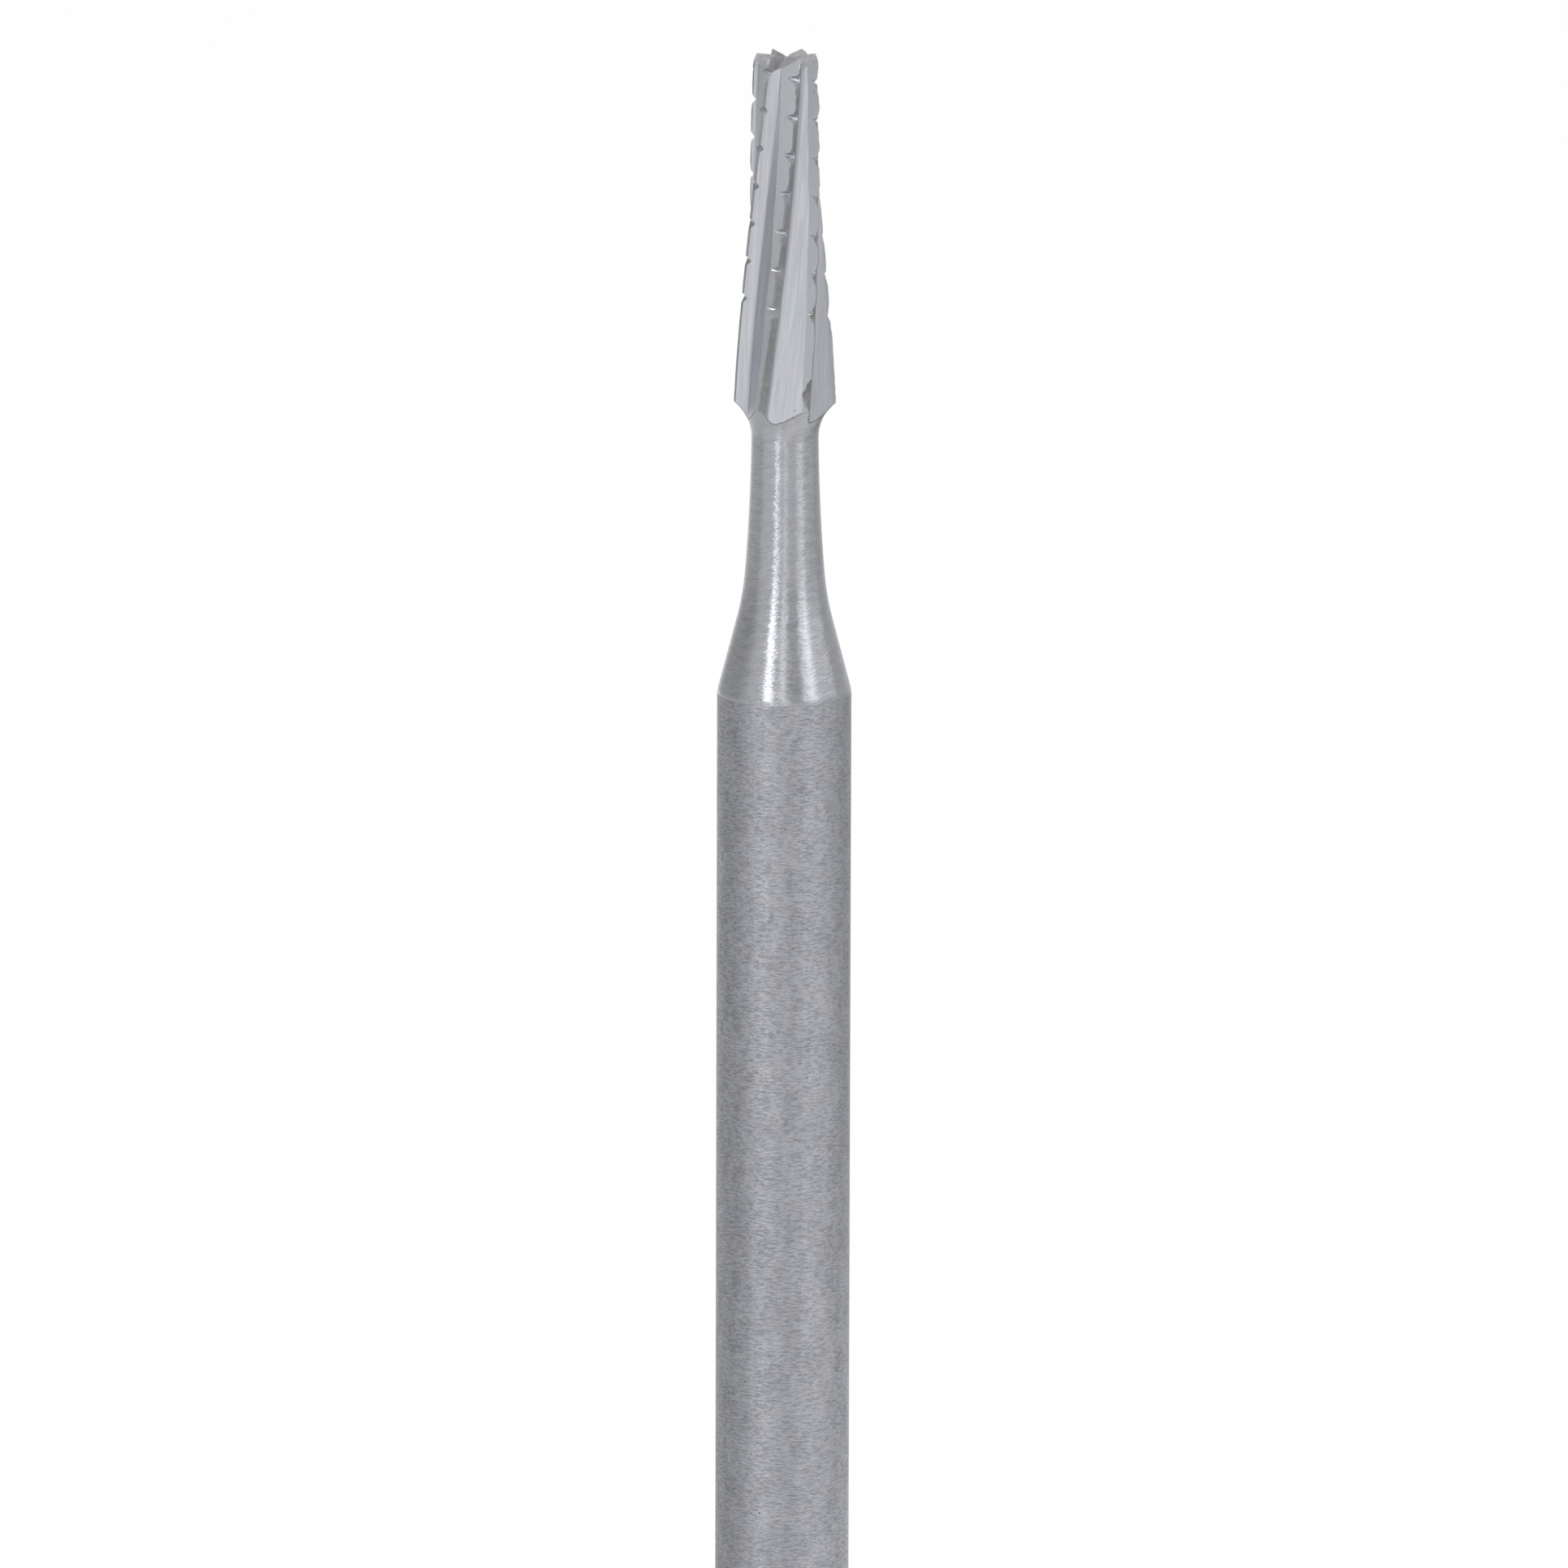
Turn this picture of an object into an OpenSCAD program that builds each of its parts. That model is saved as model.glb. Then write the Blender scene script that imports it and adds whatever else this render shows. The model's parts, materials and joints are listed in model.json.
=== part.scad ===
// Carbide burr: friction-grip shank, tapered flat-end head with six crosscut blades.
// One solid piece of tungsten carbide. Millimetres; Z runs up the axis from the flat
// end of the shank (z = 0) to the end teeth at the tip.

/* [Overall] */
// length of the whole burr, shank end to end teeth
overall_length = 19; // [17:0.1:22]

/* [Shank] */
// diameter of the centreless-ground shank
shank_d = 1.6; // [1.54:0.01:1.7]
// 45 degree chamfer at the end of the shank
shank_chamfer = 0.1; // [0.05:0.01:0.2]
// depth of the fine step where the neck grinding stops on the shank
ground_step = 0.003; // [0.002:0.001:0.01]

/* [Neck] */
// smallest diameter of the neck, just behind the head
neck_d = 0.8; // [0.74:0.01:0.86]
// distance from the tip to the step where the grinding stops
grind_length = 7.744; // [7.6:0.001:8.5]
// length of ground cylinder between the flare and the step
ground_land = 0.05; // [0.04:0.01:0.15]
// slope of the slender part of the neck where it leaves the head, in degrees
neck_start_angle = 0.6; // [0.4:0.1:1.4]
// slope of the slender part where the flare begins, in degrees
neck_end_angle = 4.6; // [3.8:0.1:5]
// half angle of the flare up to the shank, in degrees
flare_angle = 14.7; // [14:0.1:17]
// bend radius between the slender part and the flare
flare_blend_r = 3.4; // [2:0.1:3.6]
// rounding where the flare meets the ground cylinder
flare_corner_r = 0.2; // [0.1:0.01:0.25]

/* [Head] */
// largest diameter of the head, over the blades at its base
head_d = 1.214; // [1.16:0.001:1.26]
// length of the head, tip to base corner
head_length = 4.209; // [4:0.001:4.3]
// half angle of the head taper, in degrees
head_taper = 3.06; // [2.6:0.01:3.3]
// radius of the concave arc that joins the head to the neck
back_arc_r = 0.515; // [0.45:0.001:0.56]
// rounding of the base corner of the head
base_corner_r = 0.03; // [0.02:0.005:0.04]
// how far the tip corner is rounded in from the taper
tip_corner_in = 0.035; // [0.02:0.005:0.05]
// length over which the tip corner is rounded
tip_corner_len = 0.2; // [0.12:0.01:0.3]

/* [Blades] */
// number of blades round the head
blades = 6; // [5:1:8]
// lead of the right-hand helix that the cutting edges follow
helix_lead = 25.5; // [20:0.1:32]
// angle of the first blade at the tip, from the front, in degrees
blade_start = -32; // [-90:1:90]
// negative rake of the blade face, measured from the radius, in degrees
rake_angle = 27; // [20:1:32]
// depth of the gullet as a share of the radius over the blades
gullet_share = 0.265; // [0.22:0.005:0.28]
// bottom radius of the gullet
gullet_r = 0.11; // [0.06:0.005:0.12]
// relief of the land behind the cutting edge, in degrees
land_relief = 33; // [28:1:37]
// width of the land at the tip
land_tip = 0.23; // [0.18:0.01:0.24]
// width of the land at the base of the head
land_base = 0.1; // [0.08:0.01:0.14]

/* [Crosscuts] */
// number of notches, counted along the left-hand thread
notches = 39; // [12:1:48]
// pitch of the left-hand thread that the notches follow
notch_pitch = 0.464; // [0.4:0.001:0.5]
// distance from the tip to the first notch
notch_first = 0.186; // [0.17:0.001:0.3]
// depth of the notches below the cutting edge
notch_depth = 0.055; // [0.035:0.001:0.06]
// half angle between the notch flanks, in degrees
notch_half_angle = 50; // [40:1:55]
// bottom radius of the notches
notch_r = 0.025; // [0.015:0.005:0.03]

/* [End teeth] */
// relief behind each end tooth, in degrees
end_relief = 30; // [25:1:38]
// dish of the end towards the axis, in degrees
end_dish = 5; // [2:0.5:8]
// diameter of the small recess where the end teeth meet
end_recess_d = 0.12; // [0.08:0.01:0.16]

/* [Hidden] */

carbide = [0.62, 0.64, 0.67];

// the taper, measured down from the tip
head_r = head_d / 2;
taper = tan(head_taper);
function cone_r(t) = head_r - (head_length - t) * taper;

// back arc: tangent to the neck, meets the taper at the base corner
neck_r = neck_d / 2;
base_turn = acos(1 - (head_r - neck_r) / back_arc_r);
arc_len = back_arc_r * sin(base_turn);
neck_top = head_length + arc_len;

// neck: slender curve, bend and flare; the slender curve takes the length left over
shank_r = shank_d / 2;
ground_r = shank_r - ground_step;
bend_dt = flare_blend_r * (sin(flare_angle) - sin(neck_end_angle));
bend_dr = flare_blend_r * (cos(neck_end_angle) - cos(flare_angle));
slope_0 = tan(neck_start_angle);
slope_1 = tan(neck_end_angle);
slope_mid = (slope_0 + slope_1) / 2;
flare_top = grind_length - ground_land;
slender_len = ((flare_top - neck_top - bend_dt) * tan(flare_angle) - (ground_r - neck_r - bend_dr))
    / (tan(flare_angle) - slope_mid);
slender_r = neck_r + slender_len * slope_mid;
slender_t = neck_top + slender_len;
corner_len = flare_corner_r * tan(flare_angle / 2);

// the head is ground as one form and joined a little inside the top of the neck
join_overlap = 0.08;
join_step = 0.0015;
join_t = neck_top + 0.01;
round_steps = 84;

function slender(s) = [neck_r + slender_len * (slope_0 * s + (slope_1 - slope_0) * s * s / 2),
    overall_length - neck_top - slender_len * s];

function bend(s) = let (a = neck_end_angle + (flare_angle - neck_end_angle) * s)
    [slender_r + flare_blend_r * (cos(neck_end_angle) - cos(a)),
     overall_length - slender_t - flare_blend_r * (sin(a) - sin(neck_end_angle))];

function corner(s) = let (a = flare_angle * s)
    [ground_r - flare_corner_r * (1 - cos(a)),
     overall_length - flare_top - corner_len + flare_corner_r * sin(a)];

// shank, fine step, flare and slender neck in one turned profile
module shank_and_neck() {
    rotate_extrude($fn = 180)
        polygon(concat(
            [[0, 0], [shank_r - shank_chamfer, 0], [shank_r, shank_chamfer],
             [shank_r, overall_length - grind_length], [ground_r, overall_length - grind_length]],
            [for (i = [0:4]) corner(i / 4)],
            [for (i = [6:-1:0]) bend(i / 6)],
            [for (i = [7:-1:0]) slender(i / 8)],
            [[neck_r, overall_length - neck_top + join_overlap],
             [0, overall_length - neck_top + join_overlap]]));
}

// ground outline of the head: rounded tip corner, taper, base corner and back arc
edge_room = 0.004;
function tip_corner(t) = let (s = 1 - t / tip_corner_len)
    cone_r(t) + edge_room - (tip_corner_in + edge_room) * s * s;

function back_arc(s) = let (a = base_turn * s)
    [neck_r + join_step + back_arc_r * (1 - cos(a)), join_t - neck_top + back_arc_r * sin(a)];

module head_outline() {
    c = base_corner_r;
    rotate_extrude($fn = round_steps)
        polygon(concat(
            [[0, 0], [neck_r + join_step, 0]],
            [for (i = [0:8]) back_arc(i * 0.93 / 8)],
            [[head_r - 0.45 * c, join_t - head_length - 0.5 * c],
             [head_r - 0.05 * c, join_t - head_length + 0.1 * c],
             [head_r + edge_room, join_t - head_length + c]],
            [for (i = [5:-1:0]) let (t = tip_corner_len * i / 5) [tip_corner(t), join_t - t]],
            [[0, join_t]]));
}

// angle of the first blade at t below the tip, from the front
function blade_turn(t) = blade_start - 360 * t / helix_lead;

// a point given as [along the turn, outwards] at angle a from the front
function placed(p, a, z) = [p[0] * cos(a) + p[1] * sin(a), p[0] * sin(a) - p[1] * cos(a), z];

// one blade in section: edge, rake face, gullet, back slope, heel of the next land
function land_w(t) = land_tip + (land_base - land_tip) * min(1, t / head_length);

function gullet_foot(r) = let (c = cos(rake_angle), k = 1 - gullet_share,
    s = r * (c - sqrt(c * c - 1 + k * k))) [s * sin(rake_angle), r - s * c];

function heel(r, w) = let (x = -w * cos(land_relief), y = r - w * sin(land_relief), a = 360 / blades)
    [x * cos(a) + y * sin(a), -x * sin(a) + y * cos(a)];

fillet_steps = 4;
function fillet(e, g, h) = let (
        u = (e - g) / norm(e - g), v = (h - g) / norm(h - g),
        half = acos(u * v) / 2, m = (u + v) / norm(u + v),
        centre = g + m * gullet_r / sin(half),
        d0 = g + u * gullet_r / tan(half) - centre, d1 = g + v * gullet_r / tan(half) - centre,
        a0 = atan2(d0[1], d0[0]), turn = 180 - 2 * half)
    [for (i = [0:fillet_steps]) let (a = a0 + turn * i / fillet_steps)
        centre + gullet_r * [cos(a), sin(a)]];

function blade_points(t) = let (r = cone_r(t), e = [0, r], g = gullet_foot(r), h = heel(r, land_w(t)))
    concat([e], fillet(e, g, h), [h]);

blade_count = fillet_steps + 3;
ring_count = blades * blade_count;
rings = 40;

// tapered body with the helical flutes ground in, longer than the head at both ends
module fluted_cone() {
    top = -0.05;
    bottom = head_length + arc_len * 0.85;
    sides = [for (j = [0:rings - 1]) for (i = [0:ring_count - 1])
        let (a = j * ring_count + i, b = j * ring_count + (i + 1) % ring_count,
             c = a + ring_count, d = b + ring_count) each [[a, c, d], [a, d, b]]];
    polyhedron(
        points = [for (j = [0:rings]) let (t = bottom + (top - bottom) * j / rings,
            section = blade_points(t))
            for (b = [0:blades - 1]) for (p = section)
                placed(p, blade_turn(t) + b * 360 / blades, join_t - t)],
        faces = concat(sides,
            [[for (i = [0:ring_count - 1]) i]],
            [[for (i = [ring_count - 1:-1:0]) rings * ring_count + i]]),
        convexity = 12);
}

// neck core below the run-out of the flutes
module core_below_flutes() {
    cylinder(r = head_r, h = join_t - head_length - arc_len * 0.8, $fn = round_steps);
}

// left-hand thread form that cuts the notches across the blades
thread_step = 9;
thread_lead_in = 24;
module crosscut_thread() {
    first = blade_turn(notch_first);
    drift = notch_pitch / helix_lead;
    total = thread_lead_in + (notches - 1) * 360 / blades / (1 + drift) + 14;
    steps = ceil(total / thread_step);
    out = 0.04;
    wide = (notch_depth + out) * tan(notch_half_angle);
    low = notch_r * (1 - sin(notch_half_angle));
    half = notch_r * cos(notch_half_angle);
    shift = notch_r * (1 / sin(notch_half_angle) - 1);
    form = [[out, -wide + shift * tan(notch_half_angle)], [low - notch_depth, -half],
            [-notch_depth, 0], [low - notch_depth, half],
            [out, wide - shift * tan(notch_half_angle)]];
    n = len(form);
    sides = [for (j = [0:steps - 1]) for (i = [0:n - 1])
        let (a = j * n + i, b = j * n + (i + 1) % n, c = a + n, d = b + n)
            each [[a, c, d], [a, d, b]]];
    polyhedron(
        points = [for (j = [0:steps])
            let (a = total * j / steps - thread_lead_in, t = notch_first + notch_pitch * a / 360)
            for (p = form) placed([0, cone_r(t) + p[0]], first + a, join_t - t + p[1])],
        faces = concat(sides,
            [[for (i = [0:n - 1]) i]],
            [[for (i = [n - 1:-1:0]) steps * n + i]]),
        convexity = 12);
}

// what is ground away behind each end tooth, and the recess where the teeth meet
module end_gashes() {
    r0 = cone_r(0);
    reach = r0 + 0.2;
    over = 1;
    function floor_z(along, across) =
        join_t - (r0 - along) * tan(end_dish) - across * tan(end_relief);
    for (b = [0:blades - 1])
        let (a0 = blade_turn(0) + b * 360 / blades, w = 360 / blades + over, top = join_t + 0.2)
            polyhedron(
                points = [
                    [0, 0, floor_z(0, 0)],
                    placed([0, reach], a0, floor_z(reach, 0)),
                    placed([0, reach], a0 - w, floor_z(reach * cos(w), reach * sin(w))),
                    [0, 0, top], placed([0, reach], a0, top), placed([0, reach], a0 - w, top)],
                faces = [[2, 1, 0], [3, 4, 5], [1, 4, 3, 0], [2, 5, 4, 1], [0, 3, 5, 2]]);
    translate([0, 0, floor_z(0, 0) - end_recess_d * 0.35])
        cylinder(r1 = 0.01, r2 = end_recess_d / 2 + 0.2, h = end_recess_d * 0.35 + 0.2 * 0.7, $fn = 24);
}

// head: fluted taper inside the ground outline, with the crosscuts and end teeth
module head() {
    translate([0, 0, overall_length - join_t])
        resize([0, 0, join_t])
            difference() {
                intersection() {
                    union() {
                        fluted_cone();
                        core_below_flutes();
                    }
                    head_outline();
                }
                crosscut_thread();
                end_gashes();
            }
}

// the whole burr, one piece
module burr() {
    color(carbide) union() {
        shank_and_neck();
        head();
    }
}

burr();
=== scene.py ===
import json
import math
import bpy
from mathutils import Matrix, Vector, noise

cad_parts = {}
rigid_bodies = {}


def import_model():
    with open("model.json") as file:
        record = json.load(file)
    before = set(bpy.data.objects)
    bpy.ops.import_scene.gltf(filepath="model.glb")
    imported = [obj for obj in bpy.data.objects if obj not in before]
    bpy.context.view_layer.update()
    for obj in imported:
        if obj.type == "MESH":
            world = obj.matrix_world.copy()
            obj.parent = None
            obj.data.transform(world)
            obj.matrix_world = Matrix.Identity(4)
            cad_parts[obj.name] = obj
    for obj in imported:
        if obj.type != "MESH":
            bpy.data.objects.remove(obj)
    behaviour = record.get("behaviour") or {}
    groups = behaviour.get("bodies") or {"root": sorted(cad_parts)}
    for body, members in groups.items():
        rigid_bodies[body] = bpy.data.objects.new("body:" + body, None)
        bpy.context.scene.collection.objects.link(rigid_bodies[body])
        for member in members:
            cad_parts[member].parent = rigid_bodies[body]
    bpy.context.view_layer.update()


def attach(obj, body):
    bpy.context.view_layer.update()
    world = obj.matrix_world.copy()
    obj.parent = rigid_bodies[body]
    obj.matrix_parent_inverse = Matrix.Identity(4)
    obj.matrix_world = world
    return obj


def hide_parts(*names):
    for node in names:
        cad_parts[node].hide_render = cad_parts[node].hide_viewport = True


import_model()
scene = bpy.context.scene
scene.view_settings.view_transform = "Standard"

# Camera
# A close-up lens 280 mm away, looking down on the burr by twelve degrees, with the tip near the top
# of the picture and the end of the shank just below it.
CAMERA_PITCH = 12.2
CAMERA_ROLL = 0.16
CAMERA_DISTANCE = 0.280
AIM_HEIGHT = 0.010145
PIXELS_PER_METRE = 103370
PICTURE_PIXELS = 1932
SENSOR_MM = 36

bpy.ops.object.camera_add(
    location=(0,
              -CAMERA_DISTANCE * math.cos(math.radians(CAMERA_PITCH)),
              AIM_HEIGHT + CAMERA_DISTANCE * math.sin(math.radians(CAMERA_PITCH))),
    rotation=(math.radians(90 - CAMERA_PITCH), 0, 0))
camera = bpy.context.object
camera.rotation_euler.rotate_axis("Z", math.radians(CAMERA_ROLL))
camera.data.sensor_width = SENSOR_MM
camera.data.lens = PIXELS_PER_METRE * CAMERA_DISTANCE * SENSOR_MM / PICTURE_PIXELS
camera.data.clip_start = 0.01
scene.camera = camera

# Shank and neck
# One rod of tungsten carbide. The shank is ground without centres to a dull cylinder for the chuck,
# then the neck is ground down behind the head and leaves a fine step where the wheel stops.
MM = 0.001
OVERALL = 19
SHANK_R = 0.8
SHANK_CHAMFER = 0.1
GROUND_STEP = 0.003
NECK_R = 0.4
GRIND_LENGTH = 7.744
GROUND_LAND = 0.05
NECK_SLOPE = (0.6, 4.6)
FLARE_SLOPE = 14.7
FLARE_BEND_R = 3.4
FLARE_CORNER_R = 0.2
HEAD_R = 0.607
HEAD_LENGTH = 4.209
BACK_ARC_R = 0.515
JOIN_OVERLAP = 0.08
SPIN_STEPS = 168
CHATTER_LEAD = 1.5
CLOUD_SIZE = (0.15, 0.3)
PIT_SPACING = 0.35
PIT_R = 0.016
PIT_SHADE_COLOUR = "#6c6c70"


def tan(angle):
    return math.tan(math.radians(angle))


def cos(angle):
    return math.cos(math.radians(angle))


def sin(angle):
    return math.sin(math.radians(angle))


def colour(code):
    """A hex colour as it is seen, turned to the linear values that the shader takes."""
    parts = [int(code[i:i + 2], 16) / 255 for i in (1, 3, 5)]
    return (*[v / 12.92 if v <= 0.04045 else ((v + 0.055) / 1.055) ** 2.4 for v in parts], 1)


def node(tree, kind, inputs=None, **settings):
    """Adds a node, sets its options, fills or links its inputs, and gives its first output."""
    made = tree.nodes.new(kind)
    for name, value in settings.items():
        setattr(made, name, value)
    for name, value in (inputs or {}).items():
        if isinstance(value, bpy.types.NodeSocket):
            tree.links.new(value, made.inputs[name])
        else:
            made.inputs[name].default_value = colour(value) if isinstance(value, str) else value
    return next((socket for socket in made.outputs if socket.enabled), None)


def wheel_marks(tree, around, along, lead=None, low=0.35, high=0.65, detail=3):
    """Marks of a grinding wheel, of a size in mm round the axis and along it, as 0 to 1.

    With a lead, the marks lean over to follow a helix of that lead. The closer low and high lie,
    the harder the edges of the marks.
    """
    spot = tree.nodes.new("ShaderNodeTexCoord").outputs["Object"]
    place = node(tree, "ShaderNodeVectorMath", {0: spot, "Scale": 1 / MM}, operation="SCALE")
    if lead:
        height = node(tree, "ShaderNodeSeparateXYZ", {0: place}).node.outputs["Z"]
        turn = node(tree, "ShaderNodeMath", {0: height, 1: -2 * math.pi / lead}, operation="MULTIPLY")
        place = node(tree, "ShaderNodeVectorRotate", {"Vector": place, "Angle": turn},
                     rotation_type="Z_AXIS")
    size = (1 / around, 1 / around, 1 / along)
    place = node(tree, "ShaderNodeVectorMath", {0: place, 1: size}, operation="MULTIPLY")
    grain = node(tree, "ShaderNodeTexNoise",
                 {"Vector": place, "Scale": 1, "Detail": detail, "Roughness": 0.6})
    return node(tree, "ShaderNodeMapRange", {0: grain, 1: low, 2: high})


def ground_metal(name, marks, tones, tints, tint_share, roughness, relief_mm, stretch, turn=0.25):
    """A ground metal, from its wheel marks and what they do to its colour, shine and surface.

    marks are sizes for wheel_marks, each with its weight; tones and roughness are for the low and
    the high marks; tints drift over the surface; stretch and turn draw the shine across the marks.
    Here and there a grain of the carbide has come out and left a pit, darkened with painted shade.
    """
    made = bpy.data.materials.new(name)
    made.use_nodes = True
    tree = made.node_tree
    shader = tree.nodes["Principled BSDF"]
    shader.inputs["Metallic"].default_value = 1
    shader.inputs["Anisotropic"].default_value = stretch
    shader.inputs["Anisotropic Rotation"].default_value = turn
    grain = 0.0
    for weight, *sizes in marks:
        mark = wheel_marks(tree, *sizes)
        grain = node(tree, "ShaderNodeMath", {0: mark, 1: weight, 2: grain},
                     operation="MULTIPLY_ADD")
    cloud = wheel_marks(tree, *CLOUD_SIZE)
    spot = tree.nodes.new("ShaderNodeTexCoord").outputs["Object"]
    pit = node(tree, "ShaderNodeTexVoronoi", {"Vector": spot, "Scale": 1 / (PIT_SPACING * MM)})
    rim = PIT_R / PIT_SPACING
    pit = node(tree, "ShaderNodeMapRange", {0: pit, 1: 0.2 * rim, 2: rim})
    grain = node(tree, "ShaderNodeMath", {0: grain, 1: pit}, operation="MULTIPLY")
    tone = node(tree, "ShaderNodeMix", {0: grain, 6: tones[0], 7: tones[1]}, data_type="RGBA")
    tint = node(tree, "ShaderNodeMix", {0: cloud, 6: tints[0], 7: tints[1]}, data_type="RGBA")
    both = node(tree, "ShaderNodeMix", {0: tint_share, 6: tone, 7: tint}, data_type="RGBA")
    # Painted shade: each pit is darkened to one flat grey.
    both = node(tree, "ShaderNodeMix", {0: pit, 6: PIT_SHADE_COLOUR, 7: both}, data_type="RGBA")
    rough = node(tree, "ShaderNodeMapRange", {0: grain, 3: roughness[0], 4: roughness[1]})
    relief = node(tree, "ShaderNodeBump", {"Height": grain, "Distance": relief_mm * MM, "Strength": 1})
    around = node(tree, "ShaderNodeTangent", direction_type="RADIAL", axis="Z")
    tree.links.new(both, shader.inputs["Base Color"])
    tree.links.new(rough, shader.inputs["Roughness"])
    tree.links.new(relief, shader.inputs["Normal"])
    tree.links.new(around, shader.inputs["Tangent"])
    return made


def spaced(start, end, count):
    return [start + (end - start) * i / (count - 1) for i in range(count)]


def spun(name, profile, *metals):
    """A closed form spun round the axis from its profile, as points of radius and height."""
    bpy.ops.object.select_all(action="DESELECT")
    bpy.ops.mesh.primitive_circle_add(vertices=len(profile), radius=1)
    made = bpy.context.object
    made.name = name
    for corner, (radius, height) in zip(made.data.vertices, profile):
        corner.co = (radius, 0, height)
    bpy.ops.object.mode_set(mode="EDIT")
    bpy.ops.mesh.select_all(action="SELECT")
    bpy.ops.mesh.spin(steps=SPIN_STEPS, angle=2 * math.pi, center=(0, 0, 0), axis=(0, 0, 1))
    bpy.ops.mesh.select_all(action="SELECT")
    bpy.ops.mesh.remove_doubles(threshold=1e-5)
    bpy.ops.mesh.delete_loose()
    bpy.ops.mesh.select_all(action="SELECT")
    bpy.ops.mesh.normals_make_consistent(inside=False)
    bpy.ops.object.mode_set(mode="OBJECT")
    for metal in metals:
        made.data.materials.append(metal)
    return made


base_turn = math.degrees(math.acos(1 - (HEAD_R - NECK_R) / BACK_ARC_R))
back_arc = BACK_ARC_R * sin(base_turn)
neck_top = HEAD_LENGTH + back_arc
ground_r = SHANK_R - GROUND_STEP
flare_top = GRIND_LENGTH - GROUND_LAND
bend_rise = FLARE_BEND_R * (sin(FLARE_SLOPE) - sin(NECK_SLOPE[1]))
bend_swell = FLARE_BEND_R * (cos(NECK_SLOPE[1]) - cos(FLARE_SLOPE))
first_slope, last_slope = tan(NECK_SLOPE[0]), tan(NECK_SLOPE[1])
mean_slope = (first_slope + last_slope) / 2
slender_length = (((flare_top - neck_top - bend_rise) * tan(FLARE_SLOPE)
                   - (ground_r - NECK_R - bend_swell)) / (tan(FLARE_SLOPE) - mean_slope))
slender_r = NECK_R + slender_length * mean_slope
step_height = OVERALL - GRIND_LENGTH
corner_height = OVERALL - flare_top - FLARE_CORNER_R * tan(FLARE_SLOPE / 2)
neck_height = OVERALL - neck_top

profile = [(0, 0), (SHANK_R - SHANK_CHAMFER, 0), (SHANK_R, SHANK_CHAMFER)]
profile += [(SHANK_R, height) for height in spaced(SHANK_CHAMFER, step_height, 24)[1:]]
profile += [(ground_r, step_height)]
for angle in spaced(0, FLARE_SLOPE, 8):
    profile += [(ground_r - FLARE_CORNER_R * (1 - cos(angle)),
                 corner_height + FLARE_CORNER_R * sin(angle))]
for angle in spaced(FLARE_SLOPE, NECK_SLOPE[1], 16):
    profile += [(slender_r + FLARE_BEND_R * (cos(NECK_SLOPE[1]) - cos(angle)),
                 neck_height - slender_length - FLARE_BEND_R * (sin(angle) - sin(NECK_SLOPE[1])))]
for share in spaced(1, 0, 20)[1:]:
    grown = first_slope * share + (last_slope - first_slope) * share * share / 2
    profile += [(NECK_R + slender_length * grown, neck_height - slender_length * share)]
profile += [(NECK_R, neck_height + JOIN_OVERLAP), (0, neck_height + JOIN_OVERLAP)]

# The shank is left dull and mottled by a coarse wheel: short marks round the axis and fine grit.
shank_metal = ground_metal(
    "Centreless-ground tungsten carbide",
    marks=((0.45, 0.09, 0.02, None, 0.4, 0.55), (0.3, 0.045, 0.012, None, 0.4, 0.56),
           (0.25, 0.2, 0.4)),
    tones=("#7e8085", "#bfc1c6"), tints=("#a59fa3", "#99a0a9"), tint_share=0.35,
    roughness=(0.52, 0.4), relief_mm=0.005, stretch=0.85)

# The neck shines in upright stripes: rings from a finer wheel, broken by short dashes that lean
# where it chattered, so that the edges of the stripes are jagged.
neck_metal = ground_metal(
    "Fine-ground tungsten carbide",
    marks=((0.1, 0.3, 0.012), (0.35, 0.17, 0.07, None, 0.4, 0.6, 1),
           (0.25, 0.045, 0.035, CHATTER_LEAD, 0.4, 0.6, 1),
           (0.3, 0.06, 0.02, CHATTER_LEAD, 0.28, 0.4, 1)),
    tones=("#999b9f", "#b8babf"), tints=("#b3acb1", "#a4afb2"), tint_share=0.25,
    roughness=(0.2, 0.3), relief_mm=0.0034, stretch=1.0, turn=0.285)

shank = spun("shank_and_neck", profile, shank_metal, neck_metal)
for face in shank.data.polygons:
    face.material_index = 0 if face.center.z < step_height else 1

# Head
# The same rod, ground to six right-hand blades: the wheel leaves a raked face, a rounded gullet and a
# back slope, and a second pass relieves the land behind each edge. The edges are worn and chipped.
HEAD_TAPER = 3.06
BASE_CORNER_R = 0.03
TIP_CORNER_IN = 0.035
TIP_CORNER_LENGTH = 0.2
TIP_FACET = (0.085, 0.006)
BLADES = 6
BLADE_PITCH = 360 / BLADES
HELIX_LEAD = 25.5
BLADE_START = -32
RAKE = 27
GULLET_SHARE = 0.265
GULLET_R = 0.11
LAND_RELIEF = 33
LAND_WIDTH = (0.23, 0.1)
LAND_SWING = 0.014
FLUTE_OVERRUN = 0.05
FLUTE_RUN_OUT = 0.85
HEAD_ROWS = 280
RAKE_STEPS, GULLET_STEPS, SLOPE_STEPS, LAND_STEPS = 3, 8, 3, 4
NOTCHES = 39
NOTCH_PITCH = 0.464
NOTCH_FIRST = 0.186

# The wear of the edges in mm: some all along, more below each notch and most at its sides, for each
# blade its share of that, and a larger chip near the base of one.
WEAR_ROOM = 0.008
EDGE_WEAR = 0.02
EDGE_SWING = 0.012
LEAST_WEAR = 0.01
BELOW_NOTCH = 0.026
NOTCH_WEAR = (0.035, 0.035, 0.055, 0.075, 0.05, 0.035)
NOTCH_REACH = 0.085
NOTCHED_END = 0.45
NOTCHED_FADE = 0.3
BLADE_WEAR = (0.4, 0.95, 1.0, 1.0, 0.8, 0.4)
RAKE_WEAR = (0.03, 0.16, 0.1, 0.05, 0.05, 0.03)
CHIPPED_BLADE = 2
CHIP_FROM_TIP = 4.03
CHIP_REACH = 0.19
CHIP_DEPTH = 0.1

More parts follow.
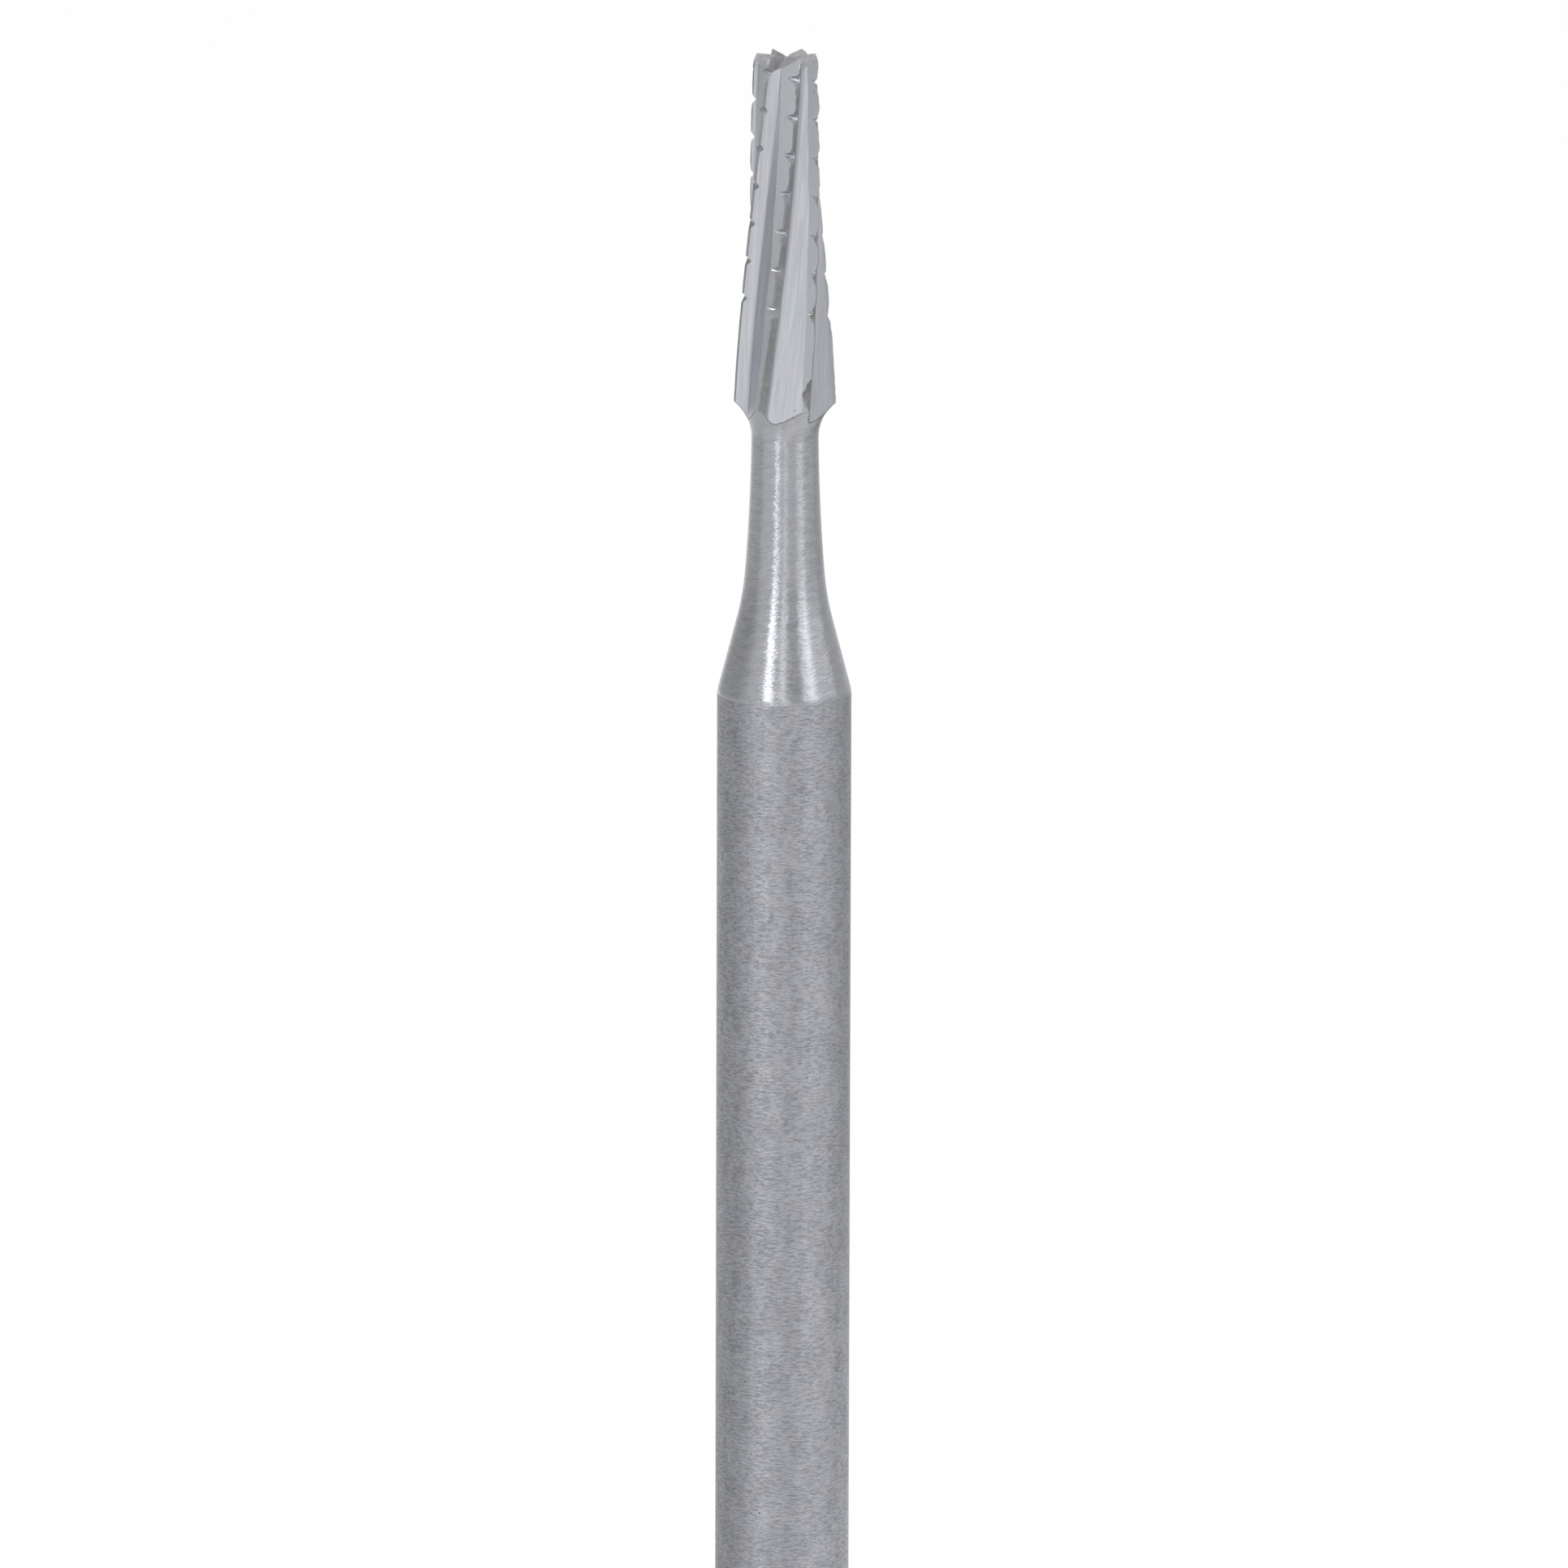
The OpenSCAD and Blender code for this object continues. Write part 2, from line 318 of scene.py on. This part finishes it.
# The flutes and slopes have long fine lines along the blades. The lines of the real wheel are about
# a third as wide.
flute_metal = ground_metal(
    "Flute-ground tungsten carbide",
    marks=((0.4, 0.012, 1.6, HELIX_LEAD), (0.35, 0.035, 2.4, HELIX_LEAD), (0.25, 0.09, 1.2, HELIX_LEAD)),
    tones=("#a9abb1", "#d0d2d7"), tints=("#c5c1c9", "#b7c2c8"), tint_share=0.35,
    roughness=(0.3, 0.14), relief_mm=0.0009, stretch=0.2, turn=0)

# The lands are duller and a little green, from the finer wheel that relieves them.
land_metal = ground_metal(
    "Relief-ground tungsten carbide",
    marks=((0.5, 0.02, 0.6, HELIX_LEAD), (0.5, 0.03, 0.03)),
    tones=("#a9acb0", "#c1c4c7"), tints=("#b6b4ba", "#b0b7b9"), tint_share=0.4,
    roughness=(0.66, 0.78), relief_mm=0.0012, stretch=0.2, turn=0)

# The worn edges are dark, dull and broken: the grain of the carbide shows where bits have come out. The
# same dark metal is also painted as shade on the ridge where the flutes run out.
worn_and_shade_metal = ground_metal(
    "Worn tungsten carbide edge and painted shade line",
    marks=((0.6, 0.02, 0.1), (0.4, 0.01, 0.012)),
    tones=("#7e8084", "#a3a5a9"), tints=("#98908f", "#8f9599"), tint_share=0.4,
    roughness=(0.5, 0.36), relief_mm=0.0013, stretch=0)


def cone_r(t):
    return HEAD_R - (HEAD_LENGTH - t) * tan(HEAD_TAPER)


def blade_turn(t):
    return BLADE_START - 360 * t / HELIX_LEAD


def placed(across, outwards, angle, height):
    return Vector((across * cos(angle) + outwards * sin(angle),
                   across * sin(angle) - outwards * cos(angle), height))


def wrapped(name, rows, columns, place, metal_of, *metals):
    """A grid rolled round the axis: place(row, column) says where each of its corners goes."""
    bpy.ops.object.select_all(action="DESELECT")
    bpy.ops.mesh.primitive_grid_add(x_subdivisions=columns, y_subdivisions=rows, size=1)
    tube = bpy.context.object
    tube.name = name
    for metal in metals:
        tube.data.materials.append(metal)
    for face in tube.data.polygons:
        face.material_index = metal_of(math.floor((face.center.x + 0.5) * columns))
    for corner in tube.data.vertices:
        column = round((corner.co.x + 0.5) * columns)
        row = round((corner.co.y + 0.5) * rows)
        corner.co = place(row, column % columns)
    bpy.ops.object.mode_set(mode="EDIT")
    bpy.ops.mesh.select_all(action="SELECT")
    bpy.ops.mesh.remove_doubles(threshold=1e-6)
    bpy.ops.mesh.select_all(action="DESELECT")
    bpy.ops.mesh.select_mode(type="EDGE")
    bpy.ops.mesh.select_non_manifold()
    bpy.ops.mesh.fill_holes(sides=0)
    bpy.ops.mesh.select_all(action="SELECT")
    bpy.ops.mesh.normals_make_consistent(inside=False)
    bpy.ops.object.mode_set(mode="OBJECT")
    return tube


def wear(blade, t):
    """How far the edge of a blade is worn back at t below the tip, in mm."""
    slow = noise.noise(Vector((blade * 7.3, 0.5, t * 3.1)))
    fine = noise.noise(Vector((blade * 3.7, 4.5, t * 17)))
    worn = EDGE_WEAR + EDGE_SWING * slow + EDGE_SWING * fine
    thread_angle = blade_turn(NOTCH_FIRST) + 360 * (t - NOTCH_FIRST) / NOTCH_PITCH
    below = (thread_angle - blade_turn(t) - blade * BLADE_PITCH) / 360 % 1
    gap = NOTCH_PITCH * min(below, 1 - below)
    notched = min(1, max(0, (NOTCHES * NOTCH_PITCH / BLADES + NOTCHED_END - t) / NOTCHED_FADE))
    if t > NOTCH_FIRST:
        beside = NOTCH_WEAR[blade] * math.exp(-(gap / NOTCH_REACH) ** 2)
        worn += notched * (BELOW_NOTCH * (1 - below) ** 0.6 + beside)
    worn *= BLADE_WEAR[blade]
    if blade == CHIPPED_BLADE:
        chip = max(0, 1 - abs(t - CHIP_FROM_TIP) / CHIP_REACH) ** 0.6
        worn += CHIP_DEPTH * chip * (1 + 8 * (worn - EDGE_WEAR))
    return max(LEAST_WEAR, worn)


def next_blade(p):
    return Vector((p.x * cos(BLADE_PITCH) + p.y * sin(BLADE_PITCH),
                   -p.x * sin(BLADE_PITCH) + p.y * cos(BLADE_PITCH)))


def section(blade, t):
    """One blade at t below the tip: rake face, gullet, back slope, and the next land and worn edge."""
    r = cone_r(t)
    rake_way = Vector((sin(RAKE), -cos(RAKE)))
    land_way = Vector((-cos(LAND_RELIEF), -sin(LAND_RELIEF)))
    edge = Vector((0, r))
    depth = 1 - GULLET_SHARE
    foot = edge + rake_way * r * (cos(RAKE) - math.sqrt(cos(RAKE) ** 2 - 1 + depth ** 2))
    width = LAND_WIDTH[0] + (LAND_WIDTH[1] - LAND_WIDTH[0]) * min(1, t / HEAD_LENGTH)
    width += LAND_SWING * noise.noise(Vector((blade * 5.1, 8.5, t * 2.4)))
    heel = next_blade(edge + land_way * width)
    up_rake, up_slope = (edge - foot).normalized(), (heel - foot).normalized()
    half = up_rake.angle(up_slope) / 2
    centre = foot + (up_rake + up_slope).normalized() * GULLET_R / math.sin(half)
    from_rake = foot + up_rake * GULLET_R / math.tan(half) - centre
    sweep = math.pi - 2 * half
    gullet = []
    for share in spaced(0, 1, GULLET_STEPS + 1):
        angle = math.atan2(from_rake.y, from_rake.x) + sweep * share
        gullet += [centre + GULLET_R * Vector((math.cos(angle), math.sin(angle)))]
    flat = (gullet[0] - edge).length
    edge.y += WEAR_ROOM
    worn = wear((blade + 1) % BLADES, t)
    on_rake = edge + rake_way * min(RAKE_WEAR[blade], 0.85 * flat)
    land_end = next_blade(edge + land_way * worn)
    nose = next_blade(edge + land_way * 0.6 * worn + rake_way * min(0.4 * worn, 0.3 * flat))
    points = [on_rake.lerp(gullet[0], i / RAKE_STEPS) for i in range(RAKE_STEPS)]
    points += gullet
    points += [gullet[-1].lerp(heel, i / SLOPE_STEPS) for i in range(1, SLOPE_STEPS)]
    points += [heel.lerp(land_end, i / LAND_STEPS) for i in range(LAND_STEPS + 1)]
    points += [nose]
    return points


LAND_START = RAKE_STEPS + GULLET_STEPS + SLOPE_STEPS
PER_BLADE = LAND_START + LAND_STEPS + 2
flute_bottom = HEAD_LENGTH + back_arc * FLUTE_RUN_OUT
sections = {}


def on_flutes(row, column):
    t = flute_bottom - (FLUTE_OVERRUN + flute_bottom) * row / HEAD_ROWS
    blade, point = divmod(column, PER_BLADE)
    if (row, blade) not in sections:
        sections[row, blade] = section(blade, t)
    p = sections[row, blade][point]
    return placed(p.x, p.y, blade_turn(t) + blade * BLADE_PITCH, OVERALL - t)


def flute_finish(column):
    point = column % PER_BLADE
    return 0 if point < LAND_START else 1 if point < LAND_START + LAND_STEPS else 2


head = wrapped("head", HEAD_ROWS, BLADES * PER_BLADE, on_flutes, flute_finish,
               flute_metal, land_metal, worn_and_shade_metal)

# The ends of the teeth are ground by hand and mottled: crossing scratches and a brownish cast.
end_metal = ground_metal(
    "Hand-ground tungsten carbide",
    marks=((0.6, 0.055, 0.25, None, 0.4, 0.6), (0.4, 0.018, 0.03, None, 0.4, 0.6)),
    tones=("#a09fa4", "#d0cfd3"), tints=("#b6b1b3", "#b0b3b6"), tint_share=0.45,
    roughness=(0.65, 0.5), relief_mm=0.006, stretch=0)

# A plain core fills the head where the flutes run out, and the blank's outline, with its concave
# back, trims both.
CORE_TOP = 0.8
CORE_OVERLAP = 0.01
JOIN_STEP = 0.0015
ARC_SHARE = 0.93
core_bottom = neck_height - CORE_OVERLAP
core_top = OVERALL - HEAD_LENGTH - back_arc * CORE_TOP
base_height = OVERALL - HEAD_LENGTH
core = spun("core", [(0, core_bottom), (HEAD_R, core_bottom), (HEAD_R, core_top), (0, core_top)],
            neck_metal)
outline = [(0, core_bottom), (NECK_R + JOIN_STEP, core_bottom)]
for angle in spaced(0, base_turn * ARC_SHARE, 14):
    outline += [(NECK_R + JOIN_STEP + BACK_ARC_R * (1 - cos(angle)),
                 neck_height + BACK_ARC_R * sin(angle))]
outline += [(HEAD_R - 0.45 * BASE_CORNER_R, base_height - 0.5 * BASE_CORNER_R),
            (HEAD_R - 0.05 * BASE_CORNER_R, base_height + 0.1 * BASE_CORNER_R),
            (HEAD_R + WEAR_ROOM, base_height + BASE_CORNER_R),
            (cone_r(TIP_CORNER_LENGTH) + WEAR_ROOM, OVERALL - TIP_CORNER_LENGTH),
            (cone_r(TIP_FACET[0]) - TIP_FACET[1], OVERALL - TIP_FACET[0]),
            (cone_r(0) - TIP_CORNER_IN, OVERALL), (0, OVERALL)]
blank = spun("head_outline", outline, neck_metal, end_metal)
for face in blank.data.polygons:
    face.material_index = 1 if face.center.z > OVERALL - TIP_FACET[0] else 0

# Crosscuts
# A thin wheel breaks every edge into short teeth: its notches follow one left-hand thread round the
# head, so that those of the next blade lie a sixth of a pitch lower.
NOTCH_DEPTH = 0.055
NOTCH_HALF_ANGLE = 50
NOTCH_R = 0.025
NOTCH_STEP = 3
WHEEL_LEAD_IN = 24
WHEEL_LEAD_OUT = 14
WHEEL_OUTSIDE = 0.04

first_notch = blade_turn(NOTCH_FIRST)
drift = NOTCH_PITCH / HELIX_LEAD
thread_turn = WHEEL_LEAD_IN + (NOTCHES - 1) * BLADE_PITCH / (1 + drift) + WHEEL_LEAD_OUT
thread_rows = math.ceil(thread_turn / NOTCH_STEP)
flank = tan(NOTCH_HALF_ANGLE) * (NOTCH_DEPTH + WHEEL_OUTSIDE
                                 - NOTCH_R * (1 / sin(NOTCH_HALF_ANGLE) - 1))
groove = [(WHEEL_OUTSIDE, -flank)]
for angle in spaced(90 - NOTCH_HALF_ANGLE, NOTCH_HALF_ANGLE - 90, 9):
    groove += [(NOTCH_R * (1 - cos(angle)) - NOTCH_DEPTH, -NOTCH_R * sin(angle))]
groove += [(WHEEL_OUTSIDE, flank)]


def on_thread(row, column):
    angle = thread_turn * row / thread_rows - WHEEL_LEAD_IN
    t = NOTCH_FIRST + NOTCH_PITCH * angle / 360
    out, up = groove[column]
    return placed(0, cone_r(t) + out, first_notch + angle, OVERALL - t + up)


# The notches are bright and smooth inside, and catch the light as small glints.
notch_metal = ground_metal(
    "Crosscut tungsten carbide",
    marks=((0.7, 0.06, 0.008), (0.3, 0.03, 0.03)),
    tones=("#a0a2a6", "#bcbec2"), tints=("#ada9ae", "#a6adb1"), tint_share=0.3,
    roughness=(0.15, 0.25), relief_mm=0.0006, stretch=0)
thread = wrapped("crosscut_wheel", thread_rows, len(groove), on_thread, lambda column: 0, notch_metal)

# End teeth
# A gash behind each edge leaves six teeth on the flat end, dished towards a small recess. They are
# ground by hand, so their facets are mottled.
END_RELIEF = 30
END_DISH = 5
END_RECESS_D = 0.12
RECESS_SHARE = 0.35
RECESS_MIDDLE_R = 0.01
RECESS_OUTSIDE = (0.2, 0.14)
GASH_OUTSIDE = 0.2
GASH_RISE = 0.5
tip_r = cone_r(0)
gash_r = tip_r + GASH_OUTSIDE
gash_turns = (GASH_RISE - BLADE_PITCH, -BLADE_PITCH / 2, 0)
gash_corners = len(gash_turns) * BLADES


def end_floor(along, across):
    return OVERALL - (tip_r - along) * tan(END_DISH) - across * tan(END_RELIEF)


bpy.ops.object.select_all(action="DESELECT")
bpy.ops.mesh.primitive_cylinder_add(vertices=gash_corners, radius=gash_r, depth=1,
                                    end_fill_type="TRIFAN")
gashes = bpy.context.object
gashes.name = "end_gashes"
gashes.data.materials.append(end_metal)
for corner in gashes.data.vertices:
    x, y, z = corner.co
    r = gash_r if math.hypot(x, y) > gash_r / 2 else 0
    blade, step = divmod(round(math.degrees(math.atan2(x, -y)) * gash_corners / 360) % gash_corners,
                         len(gash_turns))
    turn = gash_turns[step]
    height = end_floor(r * cos(turn), -r * sin(turn)) if z < 0 else OVERALL + GASH_OUTSIDE
    corner.co = placed(0, r, blade_turn(0) + blade * BLADE_PITCH + turn, height)

recess_floor = end_floor(0, 0) - END_RECESS_D * RECESS_SHARE
recess_top = end_floor(0, 0) + RECESS_OUTSIDE[1]
recess = spun("end_recess",
              [(0, recess_floor), (RECESS_MIDDLE_R, recess_floor),
               (END_RECESS_D / 2 + RECESS_OUTSIDE[0], recess_top), (0, recess_top)], end_metal)

# Burr
# Head, neck and shank are one piece of carbide: the blank is trimmed and cut as above, the shank is
# joined to it, and the flutes end on the back in a thin ridge of rolled metal, coloured with the dark
# worn metal as painted shade along that crease.
RIDGE = 0.009
SLIVER = 0.008
SMOOTH_BELOW = 11.5


def cut(target, tool, operation):
    """Joins, trims or cuts the target by the tool, and takes the tool away."""
    bpy.ops.object.select_all(action="DESELECT")
    bpy.context.view_layer.objects.active = target
    target.select_set(True)
    work = target.modifiers.new("grind", "BOOLEAN")
    work.operation = operation
    work.solver = "MANIFOLD"
    work.material_mode = "TRANSFER"
    work.object = tool
    bpy.ops.object.modifier_apply(modifier=work.name)
    bpy.data.objects.remove(tool)


def select_border(part, one, other):
    """Selects the edges where two metals meet, and goes into edit mode."""
    slots = {part.data.materials.find(one.name), part.data.materials.find(other.name)}
    sides = {}
    for face in part.data.polygons:
        for key in face.edge_keys:
            sides.setdefault(key, set()).add(face.material_index)
    bpy.ops.object.mode_set(mode="EDIT")
    bpy.ops.mesh.select_mode(type="EDGE")
    bpy.ops.mesh.select_all(action="DESELECT")
    bpy.ops.object.mode_set(mode="OBJECT")
    for edge in part.data.edges:
        edge.select = sides[edge.key] == slots
    bpy.ops.object.mode_set(mode="EDIT")


cut(head, core, "UNION")
cut(head, blank, "INTERSECT")
cut(head, thread, "DIFFERENCE")
cut(head, gashes, "DIFFERENCE")
cut(head, recess, "DIFFERENCE")
cut(head, shank, "UNION")
burr = head
burr.name = "ground_burr"
burr.scale = (MM, MM, MM)
bpy.ops.object.select_all(action="DESELECT")
burr.select_set(True)
bpy.context.view_layer.objects.active = burr
bpy.ops.object.transform_apply(location=False, rotation=False, scale=True)

# Slivers along the border are merged before it is bevelled.
select_border(burr, flute_metal, neck_metal)
bpy.ops.mesh.select_more()
bpy.ops.mesh.remove_doubles(threshold=SLIVER * MM)
bpy.ops.object.mode_set(mode="OBJECT")
select_border(burr, flute_metal, neck_metal)
# The bevelled ridge takes the dark worn metal: painted shade along the crease where the flutes run out.
bpy.ops.mesh.bevel(offset=RIDGE * MM, segments=1, material=burr.data.materials.find(worn_and_shade_metal.name))
bpy.ops.object.mode_set(mode="OBJECT")
bpy.ops.object.shade_smooth_by_angle(angle=math.radians(SMOOTH_BELOW))
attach(burr, "root")
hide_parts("burr")

# Studio
# A white sheet in a white room, bright in front and dimmer at the sides, and five soft boxes: the flat
# faces mirror the sheet and the walls, and the neck draws the boxes out into upright stripes. The light
# and shade that the faces mirror from the sheet are painted into the sheet's glow.
FLOOR = 3.0
FLOOR_SEEN = 0.95
HEAD_HEIGHT = 0.017
FRONT = 1.0
WALL_LEFT = 0.48
WALL_RIGHT = 0.74
WALL_BEHIND = 0.15
HIGH_FRONT = 0.38
HIGH_LEFT = 0.44
HIGH_RIGHT = 0.66
CEILING = 0.85
SHEET_LEFT = 0.92
SHEET_RIGHT = 0.55
SHEET_BEHIND = 0.2
NEAR_RIGHT = 0.48
FOOT_LEFT = 0.85
FOOT_RIGHT = 1.05
LAMP_DISTANCE = 0.5


def faded(tree, value, start, end, before, after):
    """Passes softly from one brightness to another while a value goes from start to end."""
    share = node(tree, "ShaderNodeMapRange", {0: value, 1: start, 2: end},
                 interpolation_type="SMOOTHSTEP")
    return node(tree, "ShaderNodeMix", {0: share, 2: before, 3: after})


def surroundings(tree, way):
    """How bright the sheet and the room are, seen from the burr along a direction. For the room this is
    the studio's light; for the sheet it is painted light and shade in its glow.

    Across goes from -1 at the left to 1 at the right, back from -1 at the camera to 1 behind the
    burr, and height from -1 straight down to 1 straight up.
    """
    way = node(tree, "ShaderNodeVectorMath", {0: way}, operation="NORMALIZE")
    height = node(tree, "ShaderNodeSeparateXYZ", {0: way}).node.outputs["Z"]
    flat = node(tree, "ShaderNodeVectorMath", {0: way, 1: (1, 1, 0)}, operation="MULTIPLY")
    flat = node(tree, "ShaderNodeVectorMath", {0: flat}, operation="NORMALIZE")
    flat = node(tree, "ShaderNodeSeparateXYZ", {0: flat}).node
    across, back = flat.outputs["X"], flat.outputs["Y"]

    # The walls at the height of the burr.
    left = faded(tree, back, -0.30, -0.05, FRONT, WALL_LEFT)
    right = faded(tree, back, -0.62, -0.38, FRONT, WALL_RIGHT)
    walls = faded(tree, across, -0.3, 0.3, left, right)
    rear = faded(tree, back, 0.75, 0.95, 0.0, WALL_BEHIND)
    walls = node(tree, "ShaderNodeMath", {0: walls, 1: rear}, operation="ADD")

    # The sheet's painted light and shade: far from the burr, nearer to it, and round its foot.
    left = faded(tree, back, -0.30, 0.0, FRONT, SHEET_LEFT)
    right = faded(tree, back, -0.34, 0.17, FRONT, SHEET_RIGHT)
    sheet = faded(tree, across, -0.3, 0.3, left, right)
    rear = faded(tree, back, 0.75, 0.95, 0.0, SHEET_BEHIND)
    sheet = node(tree, "ShaderNodeMath", {0: sheet, 1: rear}, operation="ADD")
    right = faded(tree, back, -0.72, -0.5, FRONT, NEAR_RIGHT)
    near = faded(tree, across, -0.3, 0.3, left, right)
    foot = faded(tree, across, -0.2, 0.6, FOOT_LEFT, FOOT_RIGHT)

    # The walls above the burr, and then all of it from the foot up to the ceiling.
    left = faded(tree, back, -0.4, 0.1, HIGH_FRONT, HIGH_LEFT)
    right = faded(tree, back, -0.2, 0.3, HIGH_FRONT, HIGH_RIGHT)
    high = faded(tree, across, -0.3, 0.3, left, right)
    level = faded(tree, height, -0.66, -0.55, foot, near)
    level = faded(tree, height, -0.40, -0.31, level, sheet)
    level = faded(tree, height, -0.24, -0.17, level, walls)
    level = faded(tree, height, 0.03, 0.22, level, high)
    return faded(tree, height, 0.6, 0.85, level, CEILING)


bpy.ops.object.select_all(action="DESELECT")
bpy.ops.mesh.primitive_plane_add(size=FLOOR)
floor = bpy.context.object
floor.name = "floor"
paper = bpy.data.materials.new("White paper with painted glow")
paper.use_nodes = True
tree = paper.node_tree
tree.nodes.clear()
# To the camera the sheet is plain white; to mirrored rays it glows with painted light and shade, laid
# out by where each spot lies from the burr.
ray = tree.nodes.new("ShaderNodeLightPath")
mirrored = node(tree, "ShaderNodeMath",
                {0: ray.outputs["Is Glossy Ray"], 1: ray.outputs["Is Transmission Ray"]},
                operation="MAXIMUM")
share = node(tree, "ShaderNodeMath", {0: ray.outputs["Is Camera Ray"], 1: FLOOR_SEEN, 2: mirrored},
             operation="MULTIPLY_ADD")
place = tree.nodes.new("ShaderNodeTexCoord").outputs["Object"]
way = node(tree, "ShaderNodeVectorMath", {0: place, 1: (0, 0, -HEAD_HEIGHT)}, operation="ADD")
level = node(tree, "ShaderNodeMath", {0: surroundings(tree, way), 1: ray.outputs["Is Camera Ray"]},
             operation="MAXIMUM")
matte = node(tree, "ShaderNodeBsdfDiffuse", {"Color": "#f2f2f2"})
glow = node(tree, "ShaderNodeEmission", {"Color": "#ffffff", "Strength": level})
both = node(tree, "ShaderNodeMixShader", {0: share, 1: matte, 2: glow})
node(tree, "ShaderNodeOutputMaterial", {"Surface": both})
floor.data.materials.append(paper)

world = bpy.data.worlds.new("studio")
scene.world = world
world.use_nodes = True
tree = world.node_tree
tree.nodes.clear()
ray = tree.nodes.new("ShaderNodeLightPath")
way = tree.nodes.new("ShaderNodeTexCoord").outputs["Generated"]
back = node(tree, "ShaderNodeBackground", {"Color": "#ffffff", "Strength": 1.0})
room = node(tree, "ShaderNodeBackground", {"Color": "#ffffff", "Strength": surroundings(tree, way)})
both = node(tree, "ShaderNodeMixShader", {0: ray.outputs["Is Camera Ray"], 1: room, 2: back})
node(tree, "ShaderNodeOutputWorld", {"Surface": both})


def softbox(name, azimuth, elevation, width, height, power):
    """A soft lamp turned towards the burr; azimuth 0 is behind the camera, 90 at the right."""
    middle = Vector((0, 0, AIM_HEIGHT))
    way = Vector((sin(azimuth) * cos(elevation), -cos(azimuth) * cos(elevation), sin(elevation)))
    bpy.ops.object.light_add(type="AREA", location=middle + way * LAMP_DISTANCE)
    lamp = bpy.context.object
    lamp.name = name
    lamp.data.shape = "RECTANGLE"
    lamp.data.size = width
    lamp.data.size_y = height
    lamp.data.energy = power
    lamp.rotation_euler = way.to_track_quat("Z", "Y").to_euler()


softbox("left_strip", azimuth=-33, elevation=30, width=0.07, height=0.37, power=0.64)
softbox("left_box", azimuth=-60, elevation=33, width=0.30, height=0.30, power=0.18)
softbox("camera_glow", azimuth=-5, elevation=30, width=0.08, height=0.37, power=0.20)
softbox("right_strip", azimuth=46, elevation=30, width=0.20, height=0.37, power=0.34)
softbox("right_box", azimuth=74, elevation=35, width=0.46, height=0.27, power=0.66)
